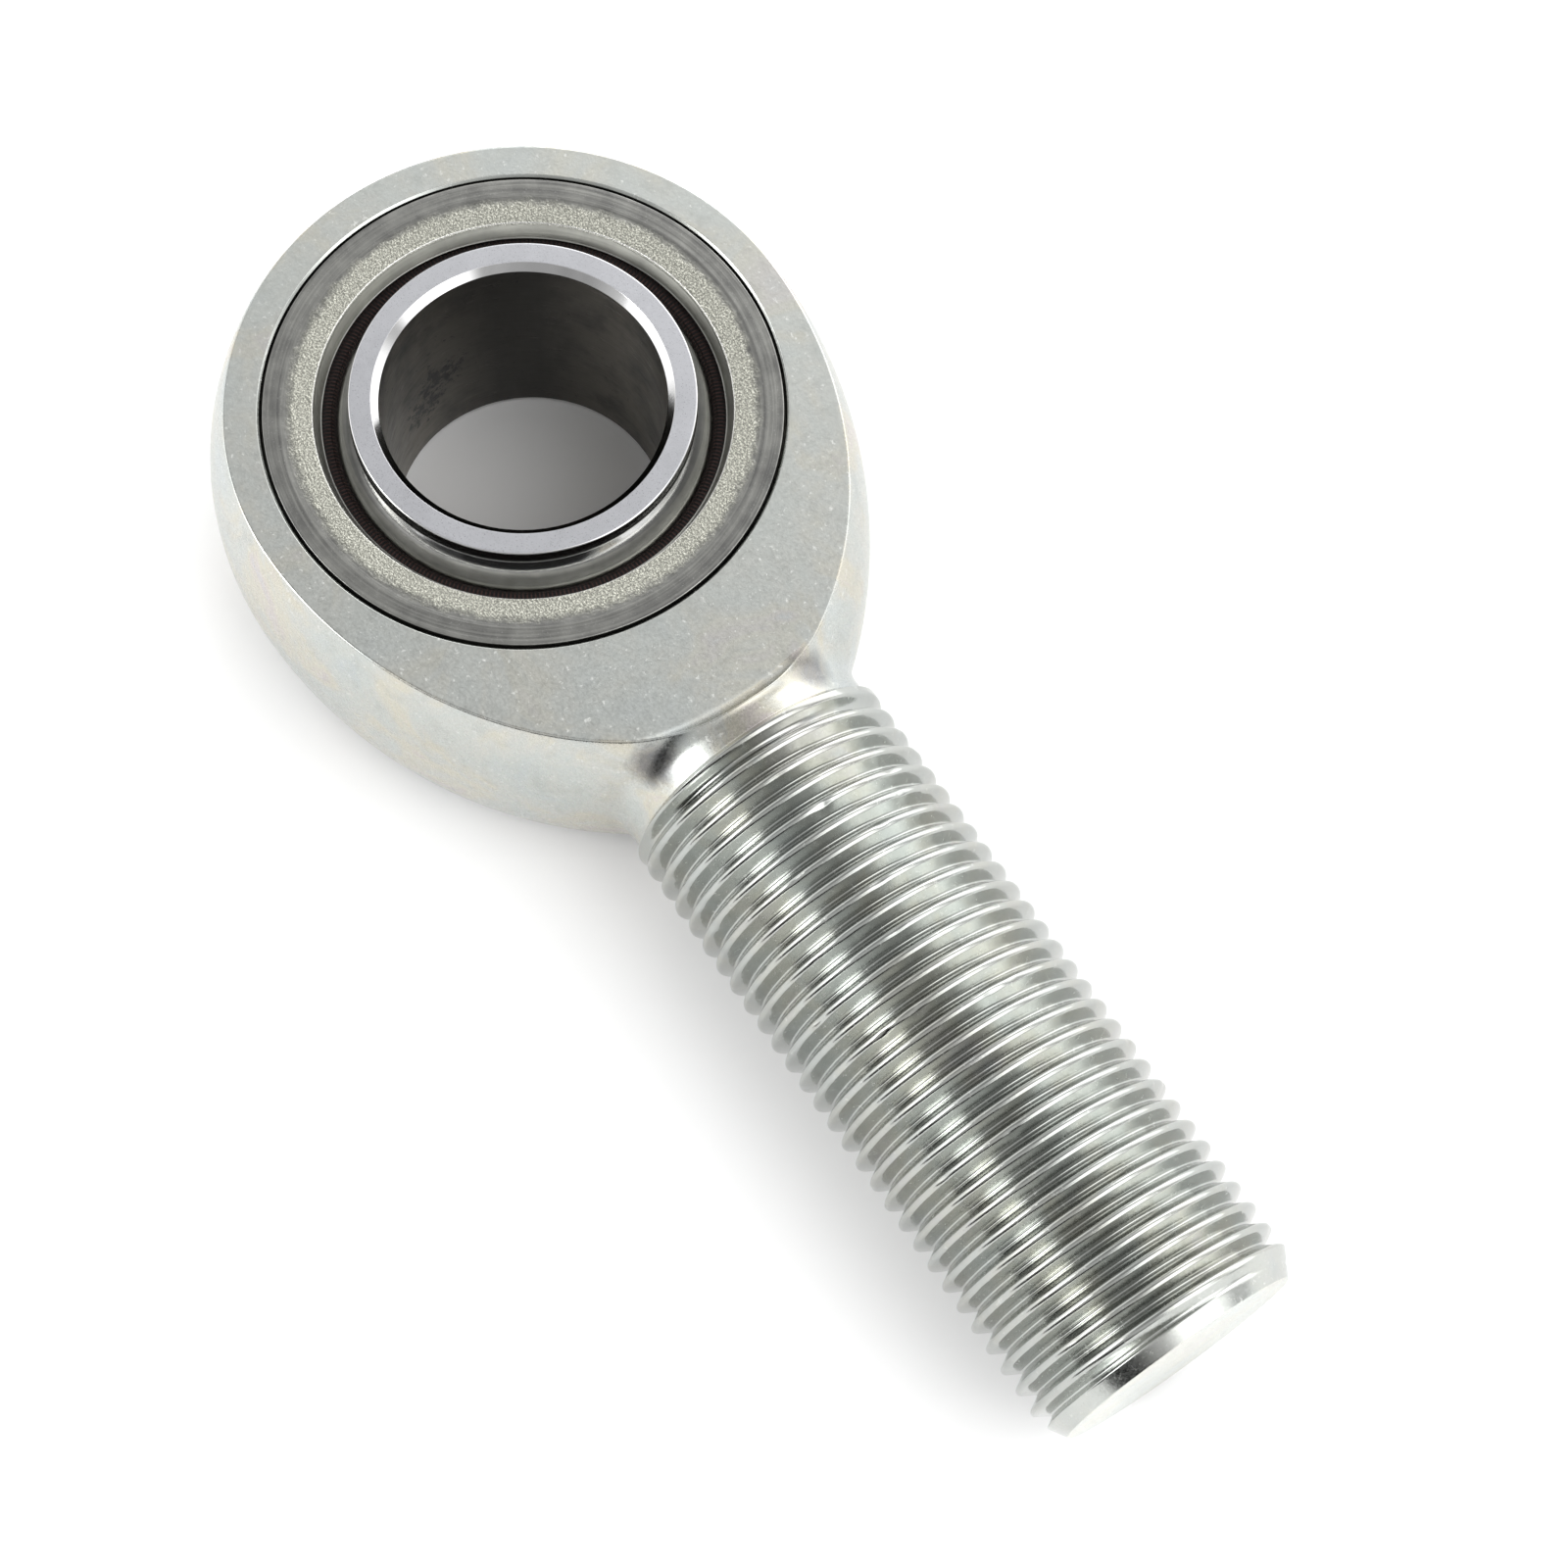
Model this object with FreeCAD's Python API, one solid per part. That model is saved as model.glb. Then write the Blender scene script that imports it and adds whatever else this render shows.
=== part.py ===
"""Male rod end with a ball joint: 3/4 inch bore, 3/4-16 UNF left-hand shank.

The frame is the ball's own: origin at the ball centre, +Z along the ball's bore,
+X along the threaded shank. All sizes are in millimetres.
"""
import FreeCAD, Part
import math
import os

INCH = 25.4

# Ball: a sphere with a short neck at each end and a chamfered bore
BALL_RADIUS = 1.125 * INCH / 2
BALL_WIDTH = 0.750 * INCH
BORE_RADIUS = 0.750 * INCH / 2
BORE_CHAMFER = 0.5
NECK_RADIUS = 11.5
NECK_FILLET = 0.4
FACE_EDGE = 0.12

# Liner: a woven band between the ball and the race
RUNNING_GAP = 0.03
LINER_THICKNESS = 0.70
LINER_HALF_WIDTH = 6.3

# Race: a steel ring held in the head, with a narrow slot round each end
RACE_RADIUS = 1.375 * INCH / 2
RACE_RECESS = 0.05
SLOT_WIDTH = 0.20
SLOT_DEPTH = 1.0
MOUTH_RADIUS = 13.95
MOUTH_FOOT_RADIUS = 13.50
MOUTH_DEPTH = 1.30
STEP_RADIUS = 15.55
STEP_WIDTH = 0.50
STEP_DEPTH = 0.04
PRESSED_DEPTH = 0.12

# Head: a ball end on the free side, an egg shape towards the shank, two flats
HEAD_WIDTH = 0.640 * INCH
HEAD_RADIUS = 21.45
SHOULDER_RADIUS = 32.5
HEAD_BORE_CHAMFER = 0.15
FACING_RADIUS = 25.9
FACING_CORNER = 1.0

# Shank: neck, left-hand thread and chamfered tip
THREAD_RADIUS = 0.750 * INCH / 2
PITCH = INCH / 16
LENGTH = 74.6
UNDERCUT_RADIUS = 9.0
UNDERCUT_FILLET = 2.0
THREAD_START = 28.0
LEAD_IN = 0.35
TIP_CHAMFER = 1.8
TIP_RADIUS = 8.45
THREAD_DEPTH = 0.61343 * PITCH
CREST_WIDTH = PITCH / 8
ROOT_WIDTH = PITCH / 6
OVERCUT = 0.10
GROOVE_START = 28.35
GROOVE_START_ANGLE = 216.0

# How far the cutting shapes reach past the metal they cut
OVERRUN = 1.0

HALF_HEAD = HEAD_WIDTH / 2
HALF_BALL = BALL_WIDTH / 2
ORIGIN = FreeCAD.Vector(0, 0, 0)
X_AXIS = FreeCAD.Vector(1, 0, 0)
Y_AXIS = FreeCAD.Vector(0, 1, 0)
Z_AXIS = FreeCAD.Vector(0, 0, 1)


def axial(radius, height):
    """A point of a half-section about the ball axis."""
    return FreeCAD.Vector(radius, 0, height)


def shank_section(position, radius):
    """A point of a half-section about the shank axis."""
    return FreeCAD.Vector(position, 0, radius)


def line(start, end):
    return Part.LineSegment(start, end).toShape()


def arc(start, middle, end):
    return Part.Arc(start, middle, end).toShape()


def turned(edges, axis):
    """The solid swept by a closed half-section turned once about an axis."""
    face = Part.Face(Part.Wire(edges))
    return face.revolve(ORIGIN, axis, 360)


def polyline(points):
    return [line(a, b) for a, b in zip(points, points[1:])]


def circle_point(center, radius, angle):
    """A point at an angle, in radians, on a circle in the XZ plane."""
    return center + FreeCAD.Vector(radius * math.cos(angle), 0, radius * math.sin(angle))


def circle_arc(center, radius, start, end):
    """An arc in the XZ plane from one angle to another, in radians."""
    angles = (start, (start + end) / 2, end)
    return arc(*[circle_point(center, radius, angle) for angle in angles])


def sphere_radius_at(radius, height):
    """Distance from the ball axis of a sphere about the origin, at a height."""
    return math.sqrt(radius ** 2 - height ** 2)


def make_ball():
    """Sphere, concave fillets up to the necks, flat faces, chamfered bore."""
    fillet_reach = BALL_RADIUS + NECK_FILLET
    fillet_height = math.sqrt(fillet_reach ** 2 - (NECK_RADIUS + NECK_FILLET) ** 2)
    fillet_center = axial(NECK_RADIUS + NECK_FILLET, fillet_height)
    meeting_angle = math.atan2(fillet_height, NECK_RADIUS + NECK_FILLET)
    face_edge = axial(NECK_RADIUS - FACE_EDGE, HALF_BALL)
    neck_top = axial(NECK_RADIUS, HALF_BALL - FACE_EDGE)
    neck_foot = axial(NECK_RADIUS, fillet_height)
    upper = [
        line(axial(BORE_RADIUS + BORE_CHAMFER, HALF_BALL), face_edge),
        line(face_edge, neck_top),
        line(neck_top, neck_foot),
        circle_arc(fillet_center, NECK_FILLET, math.pi, math.pi + meeting_angle),
    ]
    sphere = circle_arc(ORIGIN, BALL_RADIUS, meeting_angle, -meeting_angle)
    lower = [edge.mirror(ORIGIN, Z_AXIS) for edge in reversed(upper)]
    bore = polyline([
        axial(BORE_RADIUS + BORE_CHAMFER, -HALF_BALL),
        axial(BORE_RADIUS, BORE_CHAMFER - HALF_BALL),
        axial(BORE_RADIUS, HALF_BALL - BORE_CHAMFER),
        axial(BORE_RADIUS + BORE_CHAMFER, HALF_BALL),
    ])
    return turned(upper + [sphere] + lower + bore, Z_AXIS)


def make_liner():
    """Spherical band with a running gap to the ball inside it."""
    inner = BALL_RADIUS + RUNNING_GAP
    outer = inner + LINER_THICKNESS
    inner_angle = math.asin(LINER_HALF_WIDTH / inner)
    outer_angle = math.asin(LINER_HALF_WIDTH / outer)
    top = line(circle_point(ORIGIN, inner, inner_angle), circle_point(ORIGIN, outer, outer_angle))
    return turned([
        top,
        circle_arc(ORIGIN, outer, outer_angle, -outer_angle),
        top.mirror(ORIGIN, Z_AXIS),
        circle_arc(ORIGIN, inner, -inner_angle, inner_angle),
    ], Z_AXIS)


def make_race():
    """Ring with a pressed-in face, a flared mouth and the liner's spherical seat."""
    seat_radius = BALL_RADIUS + RUNNING_GAP + LINER_THICKNESS + RUNNING_GAP
    face = HALF_HEAD - RACE_RECESS
    foot = face - MOUTH_DEPTH
    slot_radius = RACE_RADIUS - SLOT_WIDTH
    seat_top = axial(sphere_radius_at(seat_radius, foot), foot)
    seat_angle = math.asin(foot / seat_radius)
    upper = [
        seat_top,
        axial(MOUTH_FOOT_RADIUS, foot),
        axial(MOUTH_RADIUS, face - PRESSED_DEPTH),
        axial(STEP_RADIUS, face - STEP_DEPTH),
        axial(STEP_RADIUS + STEP_WIDTH, face),
        axial(slot_radius, face),
        axial(slot_radius, face - SLOT_DEPTH),
        axial(RACE_RADIUS, face - SLOT_DEPTH - SLOT_WIDTH),
    ]
    lower = [FreeCAD.Vector(point.x, 0, -point.z) for point in reversed(upper)]
    seat = circle_arc(ORIGIN, seat_radius, -seat_angle, seat_angle)
    return turned(polyline(upper + lower) + [seat], Z_AXIS)


def head_blank():
    """The turned blank up to the thread: ball end, shoulder, fillet and neck."""
    shoulder_center = shank_section(0, HEAD_RADIUS - SHOULDER_RADIUS)
    fillet_level = UNDERCUT_RADIUS + UNDERCUT_FILLET
    rise = fillet_level - shoulder_center.z
    fillet_position = math.sqrt((SHOULDER_RADIUS + UNDERCUT_FILLET) ** 2 - rise ** 2)
    fillet_center = shank_section(fillet_position, fillet_level)
    meeting_angle = math.atan2(rise, fillet_position)
    curves = [
        circle_arc(ORIGIN, HEAD_RADIUS, math.pi, math.pi / 2),
        circle_arc(shoulder_center, SHOULDER_RADIUS, math.pi / 2, meeting_angle),
        circle_arc(fillet_center, UNDERCUT_FILLET, math.pi + meeting_angle, 3 * math.pi / 2),
    ]
    neck = polyline([
        shank_section(fillet_position, UNDERCUT_RADIUS),
        shank_section(THREAD_START - LEAD_IN, UNDERCUT_RADIUS),
        shank_section(THREAD_START, THREAD_RADIUS),
        shank_section(THREAD_START, 0),
        shank_section(-HEAD_RADIUS, 0),
    ])
    return turned(curves + neck, X_AXIS)


def facing_cut():
    """What the facing tool sweeps above the upper flat, round-cornered at its rim."""
    top = 2 * HEAD_RADIUS
    corner = axial(FACING_RADIUS, HALF_HEAD + FACING_CORNER)
    return turned([
        line(axial(0, top), axial(0, HALF_HEAD)),
        line(axial(0, HALF_HEAD), axial(FACING_RADIUS, HALF_HEAD)),
        circle_arc(corner, FACING_CORNER, -math.pi / 2, 0),
        line(corner + FreeCAD.Vector(FACING_CORNER, 0, 0), axial(FACING_RADIUS + FACING_CORNER, top)),
        line(axial(FACING_RADIUS + FACING_CORNER, top), axial(0, top)),
    ], Z_AXIS)


def head_bore():
    """Through hole for the race, with a chamfer at each end."""
    beyond = HALF_HEAD + OVERRUN
    half = [
        axial(0, beyond),
        axial(RACE_RADIUS + HEAD_BORE_CHAMFER, beyond),
        axial(RACE_RADIUS + HEAD_BORE_CHAMFER, HALF_HEAD),
        axial(RACE_RADIUS, HALF_HEAD - HEAD_BORE_CHAMFER),
    ]
    other = [FreeCAD.Vector(point.x, 0, -point.z) for point in reversed(half)]
    return turned(polyline(half + other + [half[0]]), Z_AXIS)


def thread_groove(length):
    """The left-hand helical groove between the thread's crests."""
    helix = Part.makeHelix(PITCH, length, THREAD_RADIUS, 0, True)
    half_root = ROOT_WIDTH / 2
    half_crest = (PITCH - CREST_WIDTH) / 2
    slope = (half_crest - half_root) / THREAD_DEPTH
    half_over = half_crest + OVERCUT * slope
    root_radius = THREAD_RADIUS - THREAD_DEPTH
    corners = [
        shank_section(root_radius, -half_root),
        shank_section(THREAD_RADIUS + OVERCUT, -half_over),
        shank_section(THREAD_RADIUS + OVERCUT, half_over),
        shank_section(root_radius, half_root),
    ]
    profile = Part.Wire(polyline(corners + [corners[0]]))
    groove = Part.Wire(helix.Edges).makePipeShell([profile], True, True)
    groove.rotate(ORIGIN, Z_AXIS, GROOVE_START_ANGLE + 90)
    groove.rotate(ORIGIN, Y_AXIS, 90)
    groove.translate(FreeCAD.Vector(GROOVE_START, 0, 0))
    return groove


def tip_cut(beyond):
    """The ring outside the chamfered tip, with all that lies past the tip."""
    taper = (THREAD_RADIUS - TIP_RADIUS) / TIP_CHAMFER
    outer = THREAD_RADIUS + TIP_CHAMFER * taper
    points = [
        shank_section(LENGTH - 2 * TIP_CHAMFER, outer),
        shank_section(LENGTH, TIP_RADIUS),
        shank_section(LENGTH, 0),
        shank_section(beyond, 0),
        shank_section(beyond, outer),
    ]
    return turned(polyline(points + [points[0]]), X_AXIS)


def threaded_shank():
    """A rod grooved past the tip's place, then cut to length and chamfered."""
    beyond = LENGTH + 2 * PITCH
    rod = Part.makeCylinder(
        THREAD_RADIUS, beyond - THREAD_START, shank_section(THREAD_START, 0), X_AXIS)
    return rod.cut(thread_groove(beyond - PITCH - GROOVE_START)).cut(tip_cut(beyond + PITCH))


def make_body():
    """Head and shank in one piece: turned, threaded, faced and bored."""
    upper_cut = facing_cut()
    lower_cut = upper_cut.mirror(ORIGIN, Z_AXIS)
    head = head_blank().cut(upper_cut).cut(lower_cut).cut(head_bore())
    return head.fuse(threaded_shank())


PIECES = {
    "body": make_body,
    "race": make_race,
    "liner": make_liner,
    "ball": make_ball,
}

os.makedirs("parts", exist_ok=True)
for name, make in PIECES.items():
    solids = make().Solids
    shape = solids[0] if len(solids) == 1 else Part.makeCompound(solids)
    shape.exportStep(f"parts/{name}.step")
    print(name, "solids", len(solids), "valid", shape.isValid(), "volume", round(shape.Volume, 1))
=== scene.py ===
import math
import random

import bmesh
import bpy
import numpy as np
from mathutils import Matrix, Vector, noise


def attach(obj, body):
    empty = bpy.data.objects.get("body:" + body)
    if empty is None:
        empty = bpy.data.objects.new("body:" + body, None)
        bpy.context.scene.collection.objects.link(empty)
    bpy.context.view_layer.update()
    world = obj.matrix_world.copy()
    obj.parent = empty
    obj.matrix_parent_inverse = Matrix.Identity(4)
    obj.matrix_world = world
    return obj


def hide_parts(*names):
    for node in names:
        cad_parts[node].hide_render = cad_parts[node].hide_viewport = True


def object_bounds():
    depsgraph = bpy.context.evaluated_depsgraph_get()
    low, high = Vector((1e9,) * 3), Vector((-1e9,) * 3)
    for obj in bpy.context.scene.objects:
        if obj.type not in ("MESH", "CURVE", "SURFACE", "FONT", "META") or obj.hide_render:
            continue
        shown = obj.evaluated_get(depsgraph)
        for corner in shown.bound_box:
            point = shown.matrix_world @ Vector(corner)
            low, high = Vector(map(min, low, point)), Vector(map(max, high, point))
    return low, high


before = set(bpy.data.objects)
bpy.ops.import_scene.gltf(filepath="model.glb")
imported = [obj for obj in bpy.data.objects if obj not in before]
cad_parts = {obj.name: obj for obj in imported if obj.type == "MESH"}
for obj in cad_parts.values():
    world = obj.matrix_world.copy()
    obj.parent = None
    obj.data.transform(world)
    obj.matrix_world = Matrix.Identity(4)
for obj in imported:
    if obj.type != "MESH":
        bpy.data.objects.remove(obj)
cad_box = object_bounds()

# All sizes below are in millimetres; MM brings a mesh into the frame's metres.
MM = 0.001
INCH = 25.4

# Ball
BALL_RADIUS = 1.125 * INCH / 2
HALF_BALL = 0.750 * INCH / 2
BORE_RADIUS = 0.750 * INCH / 2
BORE_CHAMFER = 0.5
NECK_RADIUS = 11.5
NECK_FILLET = 0.4
FACE_EDGE = 0.12
BORE_EDGE = 0.06
CHAMFER_EDGE = 0.04
CHROME_HEIGHT = 7.7

# Liner
RUNNING_GAP = 0.03
LINER_THICKNESS = 0.70
LINER_HALF_WIDTH = 6.3
YARNS_ROUND = 300
YARN_HEIGHT = 0.06

# Race
RACE_RADIUS = 1.375 * INCH / 2
RACE_RECESS = 0.05
RACE_EDGE = 0.07
PIT_SIZE = 0.015
RING_SIZE = 0.008
SLOT_WIDTH = 0.20
SLOT_DEPTH = 1.0
MOUTH_RADIUS = 13.95
MOUTH_FOOT_RADIUS = 13.50
MOUTH_DEPTH = 1.30
STEP_RADIUS = 15.55
STEP_WIDTH = 0.50
STEP_DEPTH = 0.04
PRESSED_DEPTH = 0.12

# Head
HALF_HEAD = 0.640 * INCH / 2
HEAD_RADIUS = 21.45
SHOULDER_RADIUS = 32.5
HEAD_BORE_CHAMFER = 0.15
FACING_RADIUS = 25.9
FACING_CORNER = 1.0
EDGE_REACH = 0.13
BORE_APRON = 0.6
SIDE_REACH = 8.0

# Shank
THREAD_RADIUS = 0.750 * INCH / 2
PITCH = INCH / 16
LENGTH = 74.6
UNDERCUT_RADIUS = 9.0
UNDERCUT_FILLET = 2.0
THREAD_START = 28.0
LEAD_IN = 0.35
TIP_CHAMFER = 1.8
TIP_RADIUS = 8.45
THREAD_DEPTH = 0.61343 * PITCH
CREST_ROUND = 0.27
ROOT_ROUND = 0.13
FLANK_SLOPE = math.sqrt(3)
GROOVE_START = 28.354
GROOVE_START_TURN = 0.6
GROOVE_TURNS = 28
TIP_EDGE = 0.12
TIP_EDGE_RISE = 0.072

# The groove fades in over part of a turn, and fades out between two places along the shank.
RUN_IN_TURNS = 0.22
RUN_OUT = (72.9, 74.1)

# A shallow line that follows the groove onto the tip's chamfer: where it starts and ends.
TRACE_RISE = (72.6, 73.4)
TRACE_FALL = (74.1, 74.4)
TRACE_DEPTH = 0.07
TRACE_HALF_WIDTH = 0.14

# Dents on the crests
NICK_COUNT = 190
NICK_SIZES = (0.18, 0.36)
NICK_DEPTHS = (0.05, 0.14)

# Painted shade on the plate beside the neck, and black stains in the ball's bore
NECK_PAINTED_SHADE = ((25.6, -6.0, 7.0), (25.9, 5.4, 7.4))
STAINS = ((-9.1, -2.9, -3.5), (-9.4, -1.5, -1.5))

# Mesh rows and columns of the body. The sector is the part of the head's rim that meets the
# neck; with the side rows it has as many columns as half of the shank.
SHANK_COLUMNS = 180
SIDE_ROWS = 48
SECTOR_COLUMNS = SHANK_COLUMNS // 2 - SIDE_ROWS
OPEN_COLUMNS = 250
FLAT_ROWS = (0.12, 0.25, 0.4, 0.55, 0.7, 0.85, 0.95, 0.99)
RING_START = 27.2
LEAD_RINGS = (-0.55, -0.40, -0.35, -0.32, -0.24, -0.16, -0.08, -0.03,
              0.00, 0.03, 0.12, 0.20, 0.28, 0.36, 0.44)
TIP_RING_STEP = 0.06
WELD = 0.0005

# Material slots of the ball and of the body, in the order in which they are given
CHROME, GROUND, HONED, WORN, PAINTED_DARK_NECK = range(5)
SIDE, FLAT, THREAD, CHAMFER, END = range(5)

# Camera and floor, in metres and degrees
CAMERA_PLACE = (0.090466, -0.050432, 0.207429)
CAMERA_AZIMUTH = 49.837
CAMERA_ELEVATION = 68.900
CAMERA_ROLL = 6.131
LENS = 77.15
FLOOR_HALF = 1.5

# Even light from all round, and on it the lamps (gain above 0) and dark patches (below 0).
# Each row is azimuth from +X towards +Y, elevation, the two angles between which it fades,
# and gain. LEAST_LIGHT is what the darkest direction keeps.
AMBIENT = 0.80
LEAST_LIGHT = 0.02
LOBES = (
    (40, 58, 6, 30, 2.3),
    (93, 9, 5, 42, 1.9),
    (130, 28, 5, 28, 3.0),
    (148, 48, 4, 20, 0.35),
    (235, 18, 5, 32, 1.3),
    (248, 33, 4, 18, 7.5),
    (20, 24, 5, 28, 2.1),
    (200, 20, 5, 30, 0.7),
    (292, 4, 4, 30, -0.75),
    (342, 4, 4, 30, -0.85),
    (316, 20, 6, 24, -0.30),
    (317, 5, 8, 22, -0.40),
    (210, 75, 5, 34, -0.35),
)


def smoothstep(low, high, value):
    """0 below low, 1 above high and a smooth rise between them."""
    t = np.clip((value - low) / (high - low), 0, 1)
    return t * t * (3 - 2 * t)


def rounded(points, radii, steps=3):
    """A polyline with its inner corners replaced by arcs of the given radii."""
    made = [np.array(points[0], float)]
    for before, corner, after, radius in zip(points, points[1:], points[2:], radii):
        corner = np.array(corner, float)
        back = np.array(before, float) - corner
        ahead = np.array(after, float) - corner
        back /= np.linalg.norm(back)
        ahead /= np.linalg.norm(ahead)
        half = math.acos(np.clip(back @ ahead, -1, 1)) / 2
        if radius == 0 or half > math.pi / 2 - 1e-4:
            made.append(corner)
            continue
        reach = radius / math.tan(half)
        middle = (back + ahead) / np.linalg.norm(back + ahead)
        center = corner + middle * radius / math.sin(half)
        first = corner + back * reach - center
        last = corner + ahead * reach - center
        turn = math.acos(np.clip(first @ last / radius ** 2, -1, 1))
        for k in range(steps + 1):
            t = k / steps
            made.append(center + (first * math.sin((1 - t) * turn)
                                  + last * math.sin(t * turn)) / math.sin(turn))
    made.append(np.array(points[-1], float))
    return made


def divided(points, longest, support=0.03):
    """Splits long runs evenly, after setting a point close to each of their ends."""
    made = [points[0]]
    for a, b in zip(points, points[1:]):
        run = np.linalg.norm(b - a)
        if run > 4 * support:
            inset = support / run
            count = max(1, math.ceil(run * (1 - 2 * inset) / longest))
            for k in range(count + 1):
                t = inset + (1 - 2 * inset) * k / count
                made.append(a + (b - a) * t)
        made.append(b)
    return made


def arc_points(center, radius, start, end, count):
    """Points on a circle of a half-section, between two angles in radians."""
    return [np.array([center[0] + radius * math.cos(a), center[1] + radius * math.sin(a)])
            for a in np.linspace(start, end, count)]


def new_object(name, vertices, faces, materials):
    """A welded, smooth-shaded mesh object from points in millimetres."""
    mesh = bpy.data.meshes.new(name)
    mesh.from_pydata((np.asarray(vertices) * MM).tolist(), [], faces)
    bm = bmesh.new()
    bm.from_mesh(mesh)
    bmesh.ops.remove_doubles(bm, verts=bm.verts, dist=WELD * MM)
    bmesh.ops.recalc_face_normals(bm, faces=bm.faces)
    bm.to_mesh(mesh)
    bm.free()
    mesh.polygons.foreach_set("use_smooth", [True] * len(mesh.polygons))
    made = bpy.data.objects.new(name, mesh)
    bpy.context.scene.collection.objects.link(made)
    for material in materials:
        mesh.materials.append(material)
    return made


def grid_faces(rows, columns, first=0):
    """Quads of a grid of points stored row by row."""
    return [(first + j * columns + i, first + j * columns + i + 1,
             first + (j + 1) * columns + i + 1, first + (j + 1) * columns + i)
            for j in range(rows - 1) for i in range(columns - 1)]


def lathe(name, profile, columns, materials, shift=None):
    """Turns a closed half-section (radius, height) about Z; shift moves its points."""
    profile = np.array(profile)
    turns = np.linspace(0, 2 * math.pi, columns + 1)
    radius = np.repeat(profile[:, :1], columns + 1, axis=1)
    height = np.repeat(profile[:, 1:], columns + 1, axis=1)
    if shift is not None:
        radius, height = shift(radius, height, turns)
    points = np.stack([radius * np.cos(turns), radius * np.sin(turns), height], axis=-1)
    rows = len(profile)
    return new_object(name, points.reshape(-1, 3), grid_faces(rows, columns + 1), materials)


# ---------------------------------------------------------------- materials

class Shading:
    """Adds nodes to one material whose only surface is a Principled shader."""

    def __init__(self, name):
        self.material = bpy.data.materials.new(name)
        self.material.use_nodes = True
        self.tree = self.material.node_tree
        self.shader = self.tree.nodes["Principled BSDF"]

    def node(self, kind, inputs=(), **settings):
        made = self.tree.nodes.new("ShaderNode" + kind)
        for key, value in settings.items():
            setattr(made, key, value)
        for key, value in dict(inputs).items():
            if isinstance(value, bpy.types.NodeSocket):
                self.tree.links.new(value, made.inputs[key])
            else:
                made.inputs[key].default_value = value
        return made

    def millimetres(self):
        """The point in the object's own frame, in millimetres."""
        place = self.node("TexCoord").outputs["Object"]
        return self.node("VectorMath", {0: place, "Scale": 1 / MM}, operation="SCALE").outputs[0]

    def noise(self, place, scale, detail=2.0, roughness=0.5, distortion=0.0):
        inputs = {"Vector": place, "Scale": scale, "Detail": detail,
                  "Roughness": roughness, "Distortion": distortion}
        return self.node("TexNoise", inputs).outputs["Fac"]

    def ramp(self, value, stops):
        made = self.node("ValToRGB", {"Fac": value})
        band = made.color_ramp
        while len(band.elements) < len(stops):
            band.elements.new(0.5)
        for element, (position, color) in zip(band.elements, stops):
            element.position = position
            element.color = (*color, 1)
        return made.outputs["Color"]

    def span(self, value, low, high, to_low=0.0, to_high=1.0):
        """Maps low to high onto to_low to to_high, and stays at those beyond them."""
        return self.node("MapRange", {"Value": value, "From Min": low, "From Max": high,
                                      "To Min": to_low, "To Max": to_high}).outputs["Result"]

    def math(self, operation, a, b=0.0):
        return self.node("Math", {0: a, 1: b}, operation=operation).outputs[0]

    def mix(self, share, a, b):
        """Colour a where share is 0 and b where it is 1."""
        made = self.node("Mix", {"Factor": share}, data_type="RGBA", blend_type="MIX")
        for key, value in ((6, a), (7, b)):
            if isinstance(value, bpy.types.NodeSocket):
                self.tree.links.new(value, made.inputs[key])
            else:
                made.inputs[key].default_value = (*value, 1)
        return made.outputs[2]

    def split(self, vector):
        return self.node("SeparateXYZ", {0: vector}).outputs

    def join(self, x, y, z):
        return self.node("CombineXYZ", {0: x, 1: y, 2: z}).outputs[0]

    def radius(self, vector):
        """Distance from the Z axis."""
        flat = self.node("VectorMath", {0: vector, 1: (1, 1, 0)}, operation="MULTIPLY").outputs[0]
        return self.node("VectorMath", {0: flat}, operation="LENGTH").outputs["Value"]

    def bump(self, height, depth_mm, below=None):
        """A bump whose height from 0 to 1 stands for a depth in millimetres."""
        inputs = {"Height": height, "Distance": depth_mm * MM, "Strength": 1.0}
        if below is not None:
            inputs["Normal"] = below
        return self.node("Bump", inputs).outputs["Normal"]

    def finish(self, color, roughness, metallic=1.0, normal=None, **sockets):
        for key, value in (("Base Color", color), ("Roughness", roughness), ("Normal", normal)):
            if isinstance(value, bpy.types.NodeSocket):
                self.tree.links.new(value, self.shader.inputs[key])
            elif key == "Base Color":
                self.shader.inputs[key].default_value = (*value, 1)
            elif value is not None:
                self.shader.inputs[key].default_value = value
        self.shader.inputs["Metallic"].default_value = metallic
        for key, value in sockets.items():
            self.shader.inputs[key.replace("_", " ")].default_value = value
        return self.material


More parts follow.
